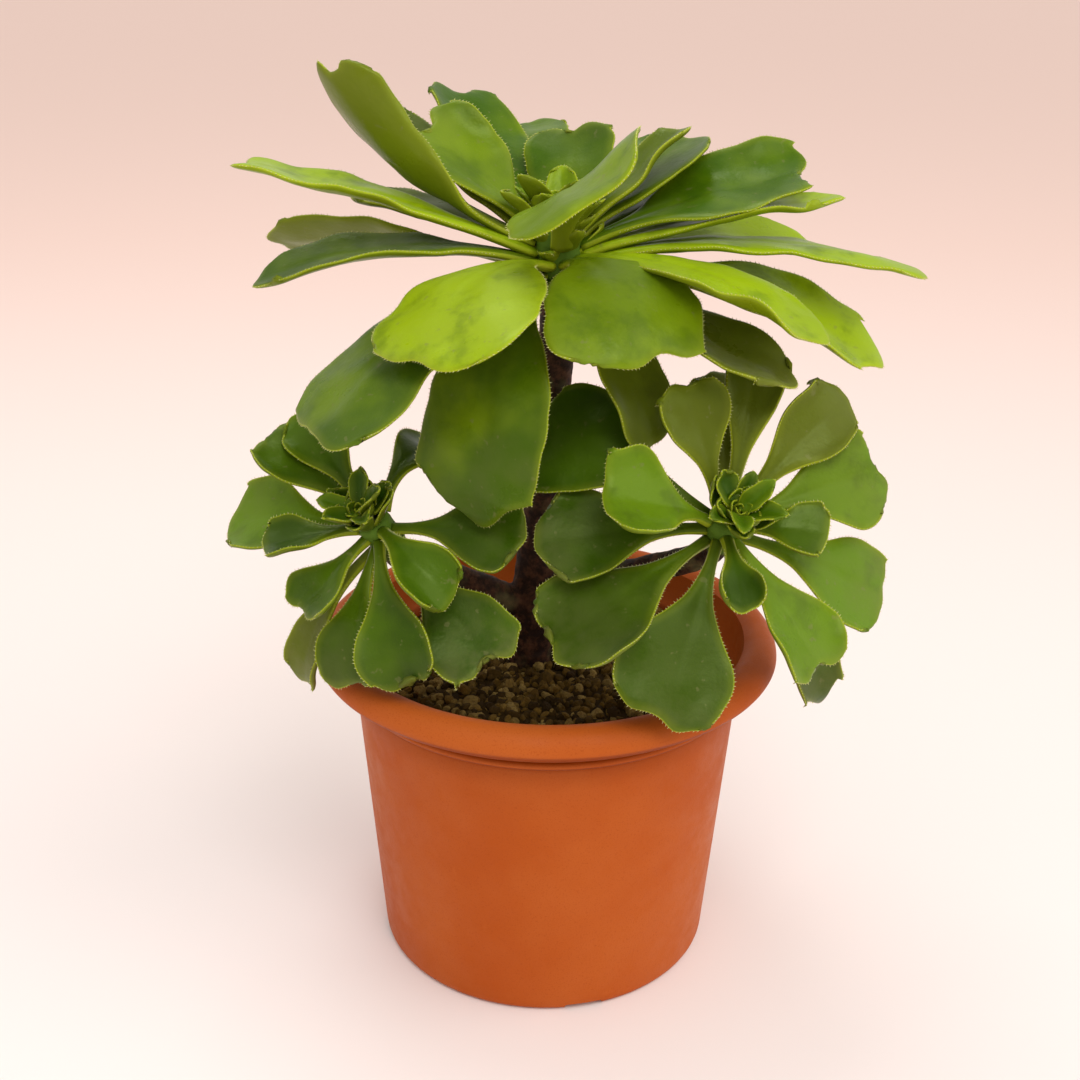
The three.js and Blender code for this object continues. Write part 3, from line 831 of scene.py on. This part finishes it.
def crown_of(name):
    """Centre and axis of a crown, from its leaves' heels and its bud."""
    leaves = sorted(node for node in NODES if node.startswith(f"{name}_leaf_"))
    bud = box_centre(f"{name}_bud")
    heels = []
    for node in leaves:
        places = vertex_places(NODES[node])
        heels.append(places[np.argmin(np.linalg.norm(places - bud, axis=1))])
    centre = np.mean(heels, axis=0)
    return leaves, centre, unit(bud - centre)


def leaf_kind(name, number, age, rng):
    """How sunny, how olive and how dusty a leaf is; its age goes from 0, youngest, to 1."""
    sunny = rng.uniform(*TONES["sunny" if number in SUNNY[name] else "shaded"])
    if number in HALF_SUNNY[name]:
        sunny += TONES["half_sunny"]
    olive = rng.uniform(*TONES["olive" if number in OLIVE[name] else "green"])
    dust = rng.uniform(*TONES["clean"]) if name == "top" else rng.uniform(*TONES["dusty"]) * age
    return sunny, olive, dust


def build_crown(name, materials):
    """Every leaf of one rosette."""
    leaves, _, axis = crown_of(name)
    surfaces = {node: read_leaf(NODES[node], axis) for node in leaves}
    heights = [surface[0, 2] @ axis for surface in surfaces.values()]
    low, high = min(heights), max(heights)
    for node, surface in surfaces.items():
        number = int(node[-2:])
        seed = SEEDS["leaf"] * (CROWNS.index(name) + 1) + number
        rng = np.random.default_rng(seed)
        age = 1 - (surface[0, 2] @ axis - low) / (high - low)
        kind = leaf_kind(name, number, age, rng)
        fullness = LEAF["fullness"][name]
        cup = LEAF["cup"][name]
        notched = number in NOTCHED[name]
        leaf = build_leaf(f"{node}_blade", surface, materials, seed, kind, 1.0, fullness, cup, notched)
        install(leaf, "leaf", node)


# ---------------- buds


def young_surface(base, axis, azimuth, rise, fall, length, width):
    """The middle surface of one cupped young leaf that grows from a bud's base."""
    turn = Vector((0, 0, 1)).rotation_difference(Vector(axis)).to_matrix()
    heading = math.radians(azimuth)
    outward = np.array([math.cos(heading), math.sin(heading), 0])
    left = np.array([-math.sin(heading), math.cos(heading), 0])
    shape = YOUNG_SHAPE
    place = outward * shape["start"] * length
    rows = []
    steps = shape["steps"]
    for step in range(steps + 1):
        way = step / steps
        tilt = math.radians(rise + (fall - rise) * way)
        ahead = math.cos(tilt) * outward + math.sin(tilt) * np.array([0, 0, 1])
        up = np.cross(ahead, left)
        if step:
            place = place + ahead * length / steps
        broad = blend((shape["stalk"], 1), math.sin(min(1, way / shape["broad_by"]) * math.pi / 2))
        rounding = max(0, (way - shape["round_from"]) / shape["round_over"])
        half = 0.5 * width * broad * math.sqrt(max(shape["blunt"], 1 - rounding ** 2))
        row = []
        for side in (1, 0.5, 0, -0.5, -1):
            raised = up * half * shape["curl"] * side * side
            pull_back = ahead * shape["pull_back"] * length * side * side * way ** 3
            row.append(place + left * half * side + raised - pull_back)
        rows.append(row)
    rows = np.array(rows) @ np.array(turn).T
    return rows + base


def build_bud(name, materials):
    """The tight cluster of young leaves at the end of a crown, as one piece."""
    _, centre, axis = crown_of(name)
    node = NODES[f"{name}_bud"]
    places = vertex_places(node)
    heights = (places - centre) @ axis
    base = centre + axis * heights.min()
    reach = heights.max() - heights.min()
    parts = []
    for index in range(BUD["leaves"]):
        way = index / (BUD["leaves"] - 1)
        length = reach * blend(BUD["length"], way)
        rise = blend(BUD["rise"], way)
        start = base + axis * BUD["lift"] * reach * way
        fall = rise + BUD["opening"]
        width = BUD["width"] * length
        surface = young_surface(start, axis, BUD["turn"] * index, rise, fall, length, width)
        seed = SEEDS["bud"] + SEEDS["crown_step"] * CROWNS.index(name) + index
        stout = blend(BUD["stoutness"], way)
        kind = (blend(BUD["sunny"], way), 0.0, 0.0)
        parts.append(build_leaf(f"{name}_bud_{index}", surface, materials, seed, kind, stout))
    for ring in YOUNG[name]:
        parts += young_ring(name, ring, materials)
    bud = joined(parts, f"{name}_bud_leaves")
    install(bud, "bud", f"{name}_bud")


def young_ring(name, ring, materials):
    """Half-grown leaves that stand between a bud and the full-grown leaves."""
    _, centre, axis = crown_of(name)
    bud = box_centre(f"{name}_bud")
    parts = []
    for index in range(ring["count"]):
        way = index / ring["count"]
        rng = np.random.default_rng(SEEDS["young"] + SEEDS["crown_step"] * CROWNS.index(name) + index)
        length = ring["length"] * rng.uniform(*YOUNG_LEAF["length_spread"])
        lean = rng.uniform(-YOUNG_LEAF["lean"], YOUNG_LEAF["lean"])
        rise = ring["rise"] + YOUNG_LEAF["climb"] * way + lean
        fall = rise - YOUNG_LEAF["drop"]
        base = bud - axis * ring["below"] * (1 - YOUNG_LEAF["higher"] * way)
        azimuth = ring["first"] + BUD["turn"] * index
        width = YOUNG_LEAF["width"] * length
        surface = young_surface(base, axis, azimuth, rise, fall, length, width)
        kind = (rng.uniform(*YOUNG_LEAF["sunny"]), 0.0, 0.0)
        parts.append(build_leaf(
            f"{name}_young_{index}", surface, materials, SEEDS["young_shape"] + index, kind,
            YOUNG_LEAF["stoutness"], YOUNG_LEAF["fullness"],
        ))
    return parts


def joined(parts, name):
    """Several mesh objects as one."""
    bpy.ops.object.select_all(action="DESELECT")
    for part in parts:
        part.select_set(True)
    bpy.context.view_layer.objects.active = parts[0]
    bpy.ops.object.join()
    whole = bpy.context.view_layer.objects.active
    whole.name = name
    whole.data.name = name
    return whole


# ---------------- pot


def arc(points, steps=10):
    """A Bezier curve through the first and last of three or four control points."""
    degree = len(points) - 1
    curve = []
    for step in range(1, steps + 1):
        t = step / steps
        weights = [math.comb(degree, k) * t ** k * (1 - t) ** (degree - k) for k in range(degree + 1)]
        curve.append(tuple(sum(w * p[axis] for w, p in zip(weights, points)) for axis in (0, 1)))
    return curve


def wall_radius(height, top):
    share = height / (top - POT["lip_drop"])
    return POT["foot_radius"] + (POT["collar_radius"] - POT["foot_radius"]) * share


def pot_levels():
    """Heights of the pot's top, its lip's widest line, the groove under the lip and the bead's foot."""
    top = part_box("pot")[1][2]
    collar = top - POT["lip_drop"]
    return top, top - POT["rim_drop"], collar, collar - POT["band_height"]


def outside_profile():
    """Radius and height of the bottom, the wall and the bead, from the middle of the bottom."""
    top, _, collar, band = pot_levels()
    step = POT["band_step"]
    foot = (POT["foot_radius"] - POT["foot_round"], 0)
    wall_start = (wall_radius(POT["foot_round"], top), POT["foot_round"])
    profile = [(radius * MM, 0) for radius in POT["bottom_rings"]] + [foot]
    profile += arc([foot, (POT["foot_radius"], 0), wall_start], 8)
    for share in np.linspace(0.08, 1, 14):
        height = share * (band - step)
        profile.append((wall_radius(height, top), height))
    for share in np.linspace(0, 1, 13):
        height = band + (collar - band) * share
        bulge = math.sin(math.pi * share) ** 0.7 * POT["band_bulge"] - POT["band_groove"]
        profile.append((wall_radius(height, top) + step * bulge, height))
    return profile


def lip_profile(groove):
    """Radius and height of the lip: its cove from the groove outwards, its roll and its inside."""
    top, rim, collar, _ = pot_levels()
    rim_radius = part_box("pot")[1][0]
    wall, mouth = POT["wall"], POT["mouth_radius"]
    reach, lift = rim_radius - groove[0], rim - groove[1]
    cove = [
        groove,
        (groove[0] + 0.36 * reach, groove[1] + 0.32 * lift),
        (groove[0] + 0.93 * reach, groove[1] + 0.68 * lift),
        (rim_radius, rim),
    ]
    roll = [
        cove[-1],
        (rim_radius, (rim + top) / 2),
        (mouth + 0.55 * (rim_radius - mouth), top),
        (mouth, top),
    ]
    edge = [roll[-1], (mouth - wall, top), (mouth - 2 * wall, top - wall)]
    inside = [
        edge[-1],
        (mouth - 2.6 * wall, collar + 2 * MM),
        (wall_radius(collar, top) - wall, collar),
    ]
    return arc(cove, 14) + arc(roll, 12) + arc(edge, 6) + arc(inside, 6)


def pot_profile():
    """Radius and height round the pot's section, from the middle of the bottom and back."""
    top, _, collar, _ = pot_levels()
    profile = outside_profile()
    profile += lip_profile(profile[-1])
    for height in np.linspace(collar, POT["floor"], 10)[1:]:
        profile.append((wall_radius(height, top) - POT["wall"], height))
    return profile + [(radius * MM, POT["floor"]) for radius in POT["floor_rings"]]


def spun(name, profile, sides, material):
    """A closed solid of revolution about +Z."""
    vertices = []
    index = []
    for radius, height in profile:
        if radius < 1e-9:
            index.append([len(vertices)] * sides)
            vertices.append((0, 0, height))
            continue
        index.append(list(range(len(vertices), len(vertices) + sides)))
        for side in range(sides):
            turn = 2 * math.pi * side / sides
            vertices.append((radius * math.cos(turn), radius * math.sin(turn), height))
    faces = []
    for low, high in zip(index, index[1:]):
        for side in range(sides):
            after = (side + 1) % sides
            face = []
            for vertex in (low[side], low[after], high[after], high[side]):
                if vertex not in face:
                    face.append(vertex)
            faces.append(tuple(face))
    return new_object(name, vertices, faces, material)


def drain_turns():
    """The turn about +Z of each drain hole."""
    for index in range(DRAIN["count"]):
        azimuth = DRAIN["first_azimuth"] + 360 / DRAIN["count"] * index
        yield Matrix.Rotation(math.radians(azimuth), 4, "Z")


def drain_holes(cutter):
    """Adds a round bar through the pot's floor at each drain hole."""
    radius = DRAIN["hole_radius"]
    place = Matrix.Translation((DRAIN["circle_radius"], 0, 0))
    for turn in drain_turns():
        bmesh.ops.create_cone(
            cutter, cap_ends=True, segments=32, radius1=radius, radius2=radius,
            depth=4 * POT["floor"], matrix=turn @ place,
        )


def drain_channels(cutter):
    """Adds a bar from each drain hole out past the foot's edge."""
    length = DRAIN["channel_length"]
    size = Matrix.Diagonal((length, DRAIN["channel_width"], 2 * DRAIN["channel_depth"], 1))
    place = Matrix.Translation((DRAIN["circle_radius"] + length / 2, 0, 0))
    for turn in drain_turns():
        made = bmesh.ops.create_cube(cutter, size=1, matrix=turn @ place @ size)
        edges = {edge for vertex in made["verts"] for edge in vertex.link_edges}
        bmesh.ops.bevel(
            cutter, geom=list(edges), offset=DRAIN["channel_round"], segments=4, profile=0.5,
            affect="EDGES",
        )


def cut_away(piece, add_shapes):
    """Cuts the shapes that add_shapes makes out of a piece."""
    cutter = bmesh.new()
    add_shapes(cutter)
    mesh = bpy.data.meshes.new("cutter")
    cutter.to_mesh(mesh)
    cutter.free()
    tool = linked("cutter", mesh)
    cut = piece.modifiers.new("cut", "BOOLEAN")
    cut.operation = "DIFFERENCE"
    cut.solver = "EXACT"
    cut.object = tool
    apply_modifiers(piece)
    bpy.data.objects.remove(tool)


def apply_modifiers(piece):
    """Turns what the modifiers make into the piece's own mesh."""
    graph = bpy.context.evaluated_depsgraph_get()
    mesh = bpy.data.meshes.new_from_object(piece.evaluated_get(graph))
    piece.modifiers.clear()
    piece.data = mesh


def shade_hollows(pot):
    """Sets attribute shade under the lip and in the grooves on either side of the bead."""
    _, _, collar, band = pot_levels()
    places = vertex_places(pot)
    down = -vertex_normals(pot)[:, 2]
    height = places[:, 2]
    outside = np.hypot(places[:, 0], places[:, 1]) > POT["foot_radius"]
    under = smooth_step(down, *HOLLOW["facing_down"]) * HOLLOW["under"]
    grooves = np.zeros(len(height))
    for level in (collar, band - 0.3 * MM):
        grooves += np.exp(-((height - level) / HOLLOW["groove_width"]) ** 2) * HOLLOW["groove"]
    shade = np.maximum(under, grooves) * (height > band - 2 * MM) * outside
    set_attribute(pot, "shade", np.repeat(shade[:, None], 3, axis=1))


def build_pot(material):
    pot = spun("pot_moulded", pot_profile(), POT["sides"], material)
    cut_away(pot, drain_holes)
    cut_away(pot, drain_channels)
    pot.data.shade_smooth()
    shade_hollows(pot)
    pot.data.set_sharp_from_angle(angle=math.radians(38))
    install(pot, "pot", "pot")


# ---------------- soil


def soil_height(x, y, radius, middle, edge):
    """Height of the uneven top of the soil, which falls from the middle to the edge."""
    out = math.hypot(x, y) / radius
    lumps = noise.noise(Vector((x, y, 0)) / SOIL_TOP["lump_length"]) * SOIL_TOP["lump"]
    return edge + (middle - edge) * (1 - out * out) + lumps


def stem_at_soil():
    """Centre of the stem where it enters the soil, and its radius there."""
    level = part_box("soil")[1][2]
    places = vertex_places(NODES["stem"])
    near = places[places[:, 2] < level + 4 * MM]
    low, high = near.min(axis=0), near.max(axis=0)
    centre = (low + high) / 2
    return centre[:2], float(np.max(high[:2] - low[:2])) / 2


def build_soil(material):
    """The mix itself, below a layer of loose grains."""
    low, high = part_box("soil")
    radius = high[0]
    middle = high[2] - SOIL_TOP["below_cad"]
    edge = middle - SOIL_TOP["fall"]
    rings, sides = SOIL_TOP["rings"], SOIL_TOP["sides"]
    base_radius = radius * POT["foot_radius"] / POT["collar_radius"] - POT["wall"]
    profile = [(0, low[2]), (base_radius * 0.96, low[2]), (radius, edge - SOIL_TOP["side_drop"])]
    profile += [(radius * (1 - ring / rings), edge) for ring in range(rings + 1)]
    soil = spun("soil_body", profile, sides, material)
    places = vertex_places(soil)
    for place in places[1 + 2 * sides:]:
        place[2] = soil_height(place[0], place[1], radius, middle, edge)
    move_vertices(soil, places)
    set_attribute(soil, "grain", np.tile([0.2, 0.8, 0.0], (len(places), 1)))
    install(soil, "soil", "soil")
    build_grit(material, radius, middle, edge)


def grain_shape(rng, size):
    """One angular grain about its own centre."""
    grain = bmesh.new()
    bmesh.ops.create_icosphere(grain, subdivisions=2, radius=size)
    shift = Vector(rng.uniform(-50, 50, 3))
    squash = Vector(rng.uniform(*GRIT["squash"], 3))
    for vertex in grain.verts:
        bumpy = 1
        for height, waves in GRIT["bumps"]:
            bumpy += height * noise.noise(vertex.co / size * waves + shift)
        vertex.co = Vector(a * b for a, b in zip(vertex.co, squash)) * bumpy
    places = np.array([tuple(vertex.co) for vertex in grain.verts])
    faces = np.array([[vertex.index for vertex in face.verts] for face in grain.faces])
    grain.free()
    return places, faces


def build_grit(material, radius, middle, edge):
    """Loose angular grains scattered over the soil."""
    rng = np.random.default_rng(7)
    kinds = [grain_shape(rng, 1.0) for _ in range(GRIT["kinds"])]
    smallest, largest = GRIT["size"]
    stem, stem_radius = stem_at_soil()
    vertices, faces, tones = [], [], []
    count = 0
    for _ in range(GRIT["grains"]):
        size = smallest + (largest - smallest) * rng.random() ** 2
        reach = (radius - size) * math.sqrt(rng.random())
        turn = rng.uniform(0, 2 * math.pi)
        x, y = reach * math.cos(turn), reach * math.sin(turn)
        if math.hypot(x - stem[0], y - stem[1]) < stem_radius + 0.4 * size:
            continue
        height = soil_height(x, y, radius, middle, edge) + rng.uniform(*GRIT["sink"]) * size
        spin = Euler(rng.uniform(0, 2 * math.pi, 3)).to_matrix()
        places, shape_faces = kinds[rng.integers(len(kinds))]
        vertices.append(places @ np.array(spin).T * size + (x, y, height))
        faces.append(shape_faces + count)
        tones.append(np.tile([rng.random(), rng.random(), 0.0], (len(places), 1)))
        count += len(places)
    faces = [tuple(int(index) for index in face) for face in np.concatenate(faces)]
    grit = new_object("soil_grains", np.concatenate(vertices), faces, material, smooth=False)
    set_attribute(grit, "grain", np.concatenate(tones))
    install(grit, "soil")


# ---------------- stem


def build_stem(material):
    """The woody stem: the CAD stem's form with rough bark and shallow leaf scars."""
    stem = linked("stem_bark", NODES["stem"].data.copy())
    stem.data.materials.clear()
    stem.data.materials.append(material)
    remesh = stem.modifiers.new("even", "REMESH")
    remesh.mode = "VOXEL"
    remesh.voxel_size = STEM["voxel"]
    smooth = stem.modifiers.new("smooth", "SMOOTH")
    smooth.iterations = 6
    apply_modifiers(stem)
    places = vertex_places(stem)
    near = np.zeros(len(places))
    for name in CROWNS:
        _, centre, axis = crown_of(name)
        along = np.abs((places - centre) @ axis)
        aside = np.linalg.norm(places - centre, axis=1)
        green = np.exp(-(along / STEM["crown_reach"]) ** 4)
        near = np.maximum(near, green * (aside < STEM["crown_radius"]))
    scars = np.abs(noise_at(places * (0.5, 0.5, 1.0), STEM["scar_length"], 0))
    rough = noise_at(places, STEM["rough_length"], 1)
    depth = (0.3 - scars) * STEM["scar_depth"] + rough * STEM["rough_depth"]
    depth += near * STEM["crown_swell"]
    move_vertices(stem, places + vertex_normals(stem) * depth[:, None])
    stem.data.shade_smooth()
    set_attribute(stem, "crown_near", np.repeat(near[:, None], 3, axis=1))
    install(stem, "stem", "stem")


# ---------------- stage


def add_camera():
    pitch, turn = math.radians(CAMERA["pitch"]), math.radians(CAMERA["turn"])
    level = math.cos(pitch)
    ahead = Vector((-math.sin(turn) * level, math.cos(turn) * level, -math.sin(pitch)))
    data = bpy.data.cameras.new("camera")
    data.lens = CAMERA["lens"]
    data.sensor_width = 36.0
    camera = linked("camera", data)
    roll = Matrix.Rotation(math.radians(CAMERA["roll"]), 4, "Z")
    aim = ahead.to_track_quat("-Z", "Y").to_matrix().to_4x4()
    camera.matrix_world = Matrix.Translation(CAMERA["place"]) @ aim @ roll
    bpy.context.scene.camera = camera


def add_floor(material):
    floor = spun("floor", [(radius, 0) for radius in FLOOR["rings"]], 96, material)


def add_light(name, kind, place, power, colour, settings):
    """A lamp at a place that shines at the middle of the object."""
    data = bpy.data.lights.new(name, kind)
    data.energy = power
    data.color = colour
    for key, value in settings.items():
        setattr(data, key, value)
    light = linked(name, data)
    light.location = place
    light.rotation_euler = (Vector(LIT_POINT) - Vector(place)).to_track_quat("-Z", "Y").to_euler()


def add_lights():
    """Soft light from the right, fill from the left, a softbox above and a window in front."""
    for light in LIGHTS:
        add_light(*light)
    world = bpy.data.worlds.new("studio")
    world.use_nodes = True
    background = world.node_tree.nodes["Background"]
    background.inputs["Color"].default_value = SKY["colour"]
    background.inputs["Strength"].default_value = SKY["strength"]
    bpy.context.scene.world = world
    bpy.context.scene.view_settings.view_transform = "Standard"


# ---------------- everything together

add_camera()
add_lights()
add_floor(floor_material())
build_pot(pot_material())
build_soil(soil_material())
build_stem(bark_material())
tooth = tooth_material()
top_materials = (leaf_material("leaf_sunlit", GREEN["top"]), tooth)
side_materials = (leaf_material("leaf_shaded", GREEN["side"]), tooth)
for crown_name in CROWNS:
    crown_materials = top_materials if crown_name == "top" else side_materials
    build_crown(crown_name, crown_materials)
    build_bud(crown_name, crown_materials)
